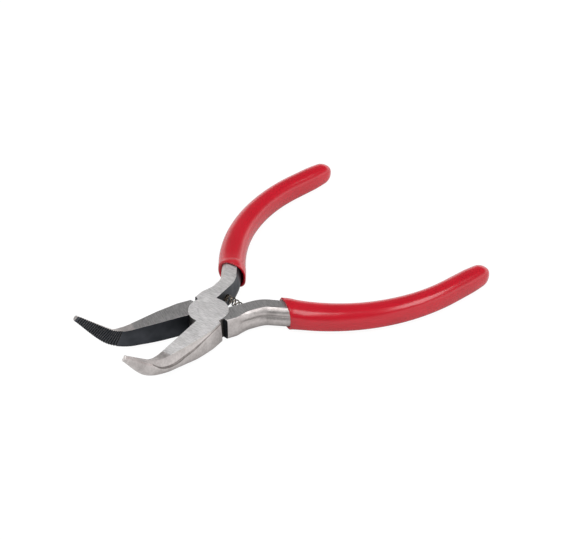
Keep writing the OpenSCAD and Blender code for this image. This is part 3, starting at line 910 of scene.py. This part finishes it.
def grip(name, side):
    """A sleeve as one skin: up its bore to the mouth, over the lip and back to its rounded end."""
    whole = MOUTH_DISTANCE + GRIP_LENGTH
    lip_end = MOUTH_DISTANCE + LIP_ROUND
    bore_start = MOUTH_DISTANCE + SLANT_LENGTH + 1
    rings = [grip_ring(grip_bore, s) for s in steps(bore_start, lip_end, 18)]
    for t in steps(0, math.pi, 6)[1:-1]:
        inset = LIP_WALL / 2 + (LIP_WALL / 2) * math.cos(t)
        out = lip_end - LIP_ROUND * math.sin(t)
        rings.append(grip_ring(lambda s, inset=inset: grip_skin(s, inset), out))
    fine = steps(lip_end, lip_end + FINE_LENGTH, 24)
    plain = steps(lip_end + FINE_LENGTH, whole - CAP_LENGTH, 60)[1:]
    rings += [grip_ring(grip_skin, s) for s in fine + plain]
    for t in steps(0, math.pi / 2, 14)[1:-1]:
        s = whole - CAP_LENGTH * (1 - math.sin(t))
        rays, _ = grip_skin(s)
        outline = [(math.cos(t) * r * math.cos(a), math.cos(t) * r * math.sin(a)) for a, r in rays]
        rings.append(on_handle(outline, s))
    made = loft("sleeve", rings, last=on_handle([(0, 0)], whole)[0])
    mesh = made.data
    shade(mesh, SOFT_EDGE, SOFT_EDGE)
    placed = place(name, mesh, side, [vinyl])
    bpy.data.objects.remove(made)
    return placed


for node, name, side, body in (("grip_a", "upper_grip", 1, "upper_half"),
                               ("grip_b", "lower_grip", -1, "lower_half")):
    sleeve = grip(name, side)
    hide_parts(node)
    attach(sleeve, body)

# ---- return spring ----

END_CLEARANCE = 0.02
FIRST_COIL_ANGLE = math.radians(80)
STEPS_A_TURN = 40
WIRE_SIDES = 12
CLOSED_SPACING = 1.06  # of the wire's thickness, between turns of the closed end coils
CLOSED_PITCH = 2 * WIRE_RADIUS * CLOSED_SPACING

# The spring lies on an arc about the place where the two inner faces would meet
ARC_CENTRE = -HANDLE_GAP / 2 / math.sin(HALF_OPEN)
ARC_RADIUS = POCKET_DISTANCE + HANDLE_GAP / 2 / math.tan(HALF_OPEN)
END_RUN = POCKET_DEPTH - END_CLEARANCE - WIRE_RADIUS
SPRING_CHAIN = [(END_RUN, 0), (ARC_RADIUS * 2 * HALF_OPEN, 2 * HALF_OPEN), (END_RUN, 0)]
SPRING_RUN = ARC_RADIUS * 2 * HALF_OPEN + 2 * END_RUN
SPRING_START = (ARC_CENTRE + ARC_RADIUS * math.cos(HALF_OPEN) - END_RUN * math.sin(HALF_OPEN),
                -ARC_RADIUS * math.sin(HALF_OPEN) - END_RUN * math.cos(HALF_OPEN),
                math.pi / 2 - HALF_OPEN)
OPEN_PITCH = (SPRING_RUN - 2 * CLOSED_PITCH) / OPEN_COILS


def coil_reach(turns):
    """How far along the spring the wire has come: a closed coil, the open ones, a closed one."""
    if turns < 1:
        return turns * CLOSED_PITCH
    if turns < 1 + OPEN_COILS:
        return CLOSED_PITCH + (turns - 1) * OPEN_PITCH
    return SPRING_RUN - (OPEN_COILS + 2 - turns) * CLOSED_PITCH


def wire_ring(turns):
    a, b, heading = along(SPRING_CHAIN, coil_reach(turns), SPRING_START)
    t = turns * 2 * math.pi + FIRST_COIL_ANGLE
    ring = []
    for k in range(WIRE_SIDES):
        w = 2 * math.pi * k / WIRE_SIDES
        r = SPRING_RADIUS - WIRE_RADIUS + WIRE_RADIUS * math.cos(w)
        ahead = WIRE_RADIUS * math.sin(w)
        ring.append((a + ahead * math.cos(heading) + r * math.cos(t) * math.sin(heading),
                     b + ahead * math.sin(heading) - r * math.cos(t) * math.cos(heading),
                     HALF + r * math.sin(t)))
    return ring


turn_count = (OPEN_COILS + 2) * STEPS_A_TURN
coil = loft("spring_coil", [wire_ring(k / STEPS_A_TURN) for k in range(turn_count + 1)])
coil.data.transform(Matrix.Scale(MM, 4))
paint(coil.data, [wire])
shade(coil.data, SOFT_EDGE, SOFT_EDGE)
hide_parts("return_spring")
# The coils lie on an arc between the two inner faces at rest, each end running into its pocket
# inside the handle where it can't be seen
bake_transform(coil)

# ---- stage, light and camera ----

FLOOR_HALF = 3  # metres


def white_table():
    """Matt white paper with a glow of its own: it stays plain white, yet keeps the tool's shadow."""
    made, tree = finish("white_table")
    ray = add(tree, "LightPath")
    shown = ray.outputs["Is Camera Ray"]
    for other in ("Is Glossy Ray", "Is Transmission Ray"):
        shown = add(tree, "Math", {0: shown, 1: ray.outputs[other]}, operation="MAXIMUM").outputs[0]
    share = add(tree, "Math", {0: shown, 1: 0.9}, operation="MULTIPLY")
    paper = add(tree, "BsdfDiffuse", {"Color": colour("#f4f4f4")})
    # Painted shade: the glow that the tool's undersides mirror dims by occlusion
    # where the tool stands close over the paper
    under = add(tree, "AmbientOcclusion", {"Distance": 13 * MM}, samples=16)
    glow_share_past_painted_shade = add(tree, "Math", {0: under.outputs["AO"], 1: ray.outputs["Is Camera Ray"]},
                     operation="MAXIMUM")
    power = add(tree, "Math", {0: glow_share_past_painted_shade.outputs[0], 1: 1.06}, operation="MULTIPLY")
    glow = add(tree, "Emission", {"Color": (1, 1, 1, 1), "Strength": power.outputs[0]})
    surface(tree, add(tree, "MixShader", {
        0: share.outputs[0], 1: paper.outputs[0], 2: glow.outputs[0]}))
    return made


low = cad_box[0].z
corners = [(x * FLOOR_HALF, y * FLOOR_HALF, low) for x, y in ((-1, -1), (1, -1), (1, 1), (-1, 1))]
table_top = bpy.data.meshes.new("table_top")
table_top.from_pydata(corners, [], [(0, 1, 2, 3)])
table_top.materials.append(white_table())
floor = show("floor", table_top)

LIT_PLACE = Vector((0.02, 0, 0.003))
LAMP_DISTANCE = 1.2

# Name, the way to it from the tool, width and height in metres, watts, roll in radians
SOFTBOXES = [
    ("key", (-0.05, 0.46, 0.88), 0.45, 0.25, 3.2, 0),
    ("left_box", (-0.38, -0.17, 0.9), 0.36, 0.95, 5.6, 0),
    ("right_box", (0.32, -0.58, 0.74), 0.45, 0.8, 5.6, -0.8),
    ("back_box", (-0.67, 0.26, 0.7), 0.4, 0.4, 2.2, 0),
]
for name, towards, width, height, watts, roll in SOFTBOXES:
    lamp = bpy.data.lights.new(name, "AREA")
    lamp.shape = "RECTANGLE"
    lamp.size = width
    lamp.size_y = height
    lamp.energy = watts
    box = show(name, lamp)
    direction = Vector(towards).normalized()
    facing = direction.to_track_quat("Z", "Y") @ Quaternion((0, 0, 1), roll)
    box.location = LIT_PLACE + direction * LAMP_DISTANCE
    box.rotation_euler = facing.to_euler()

world = bpy.data.worlds.new("studio")
bpy.context.scene.world = world
world.use_nodes = True
sky = world.node_tree
sky.nodes.clear()
ray = add(sky, "LightPath")
looking = add(sky, "TexCoord")
way = add(sky, "SeparateXYZ", {0: looking.outputs["Generated"]})
# White walls to the right of the tool, a darker room behind the camera, and a dim ceiling
walls = add(sky, "MapRange", {
    "Value": way.outputs["X"], "From Min": -0.8, "From Max": 0.5, "To Min": 0.3, "To Max": 1.9})
rising = add(sky, "MapRange", {
    "Value": way.outputs["Z"], "From Min": 0.1, "From Max": 0.45, "To Min": 0, "To Max": 1})
dome = add(sky, "Mix", {0: rising.outputs[0], 2: walls.outputs[0], 3: 0.18}, data_type="FLOAT")
strength = add(sky, "Mix", {0: ray.outputs["Is Camera Ray"], 2: dome.outputs[0], 3: 1.0},
               data_type="FLOAT")
backdrop = add(sky, "Background", {"Color": (1, 1, 1, 1), "Strength": strength.outputs[0]})
add(sky, "OutputWorld", {"Surface": backdrop.outputs[0]})

camera = show("camera", bpy.data.cameras.new("camera"))
camera.data.lens = 112.3
camera.data.sensor_width = 36
camera.data.clip_end = 10
camera.location = (-0.2407, -0.3184, 0.3212)
aim = Vector((0.0217, -0.0071, 0.01475))
camera.rotation_euler = (camera.location - aim).to_track_quat("Z", "Y").to_euler()
bpy.context.scene.camera = camera
bpy.context.scene.view_settings.view_transform = "Standard"
